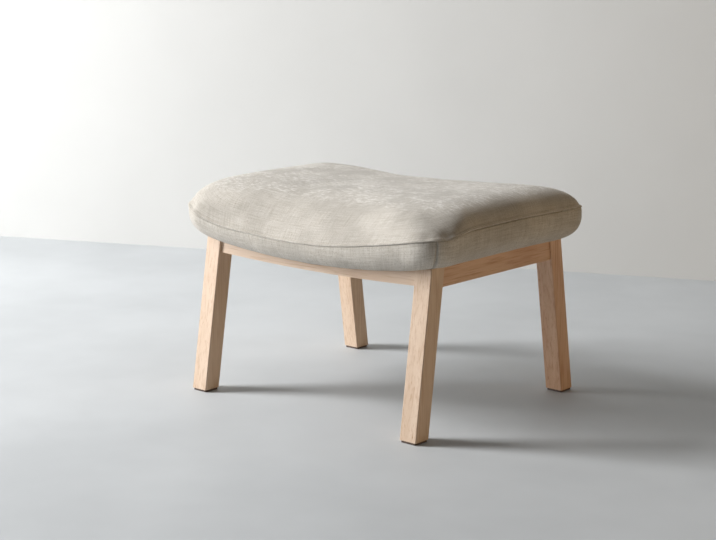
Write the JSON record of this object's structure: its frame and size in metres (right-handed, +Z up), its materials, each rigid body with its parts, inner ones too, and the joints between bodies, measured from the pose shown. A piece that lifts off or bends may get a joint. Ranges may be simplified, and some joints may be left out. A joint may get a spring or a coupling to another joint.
{
  "type": "upholstered footstool",
  "caption": "Low footstool with a saddle-shaped padded seat in sewn fabric panels, on a pale wooden frame with splayed square legs.",
  "frame": {"origin": "on the floor, under the centre of the seat", "axes": "+X along the long side to the right, +Y from the front to the back, +Z up"},
  "size_m": [0.6136, 0.4648, 0.3988],
  "materials": {
    "wood": "pale straight-grained wood, satin lacquer",
    "plywood": "bare plywood",
    "cover_fabric": "soft beige weave with a short nap",
    "foam": "open-cell foam under a soft wrap",
    "dust_cloth": "thin dark non-woven cloth",
    "steel": "zinc-plated steel",
    "foot_pad": "dark matte plastic"
  },
  "bodies": {
    "root": {"front_rail": "wood", "back_rail": "wood", "left_rail": "wood", "right_rail": "wood", "leg_front_left": "wood", "corner_block_front_left": "wood", "glide_front_left": "foot_pad", "leg_front_right": "wood", "corner_block_front_right": "wood", "glide_front_right": "foot_pad", "leg_back_left": "wood", "corner_block_back_left": "wood", "glide_back_left": "foot_pad", "leg_back_right": "wood", "corner_block_back_right": "wood", "glide_back_right": "foot_pad", "corner_bolts": "steel", "seat_screws": "steel", "seat_base": "plywood", "foam_core": "foam", "dust_cover": "dust_cloth", "cover_top": "cover_fabric", "cover_front_band": "cover_fabric", "cover_back_band": "cover_fabric", "cover_left_band": "cover_fabric", "cover_right_band": "cover_fabric"}
  },
  "joints": []
}
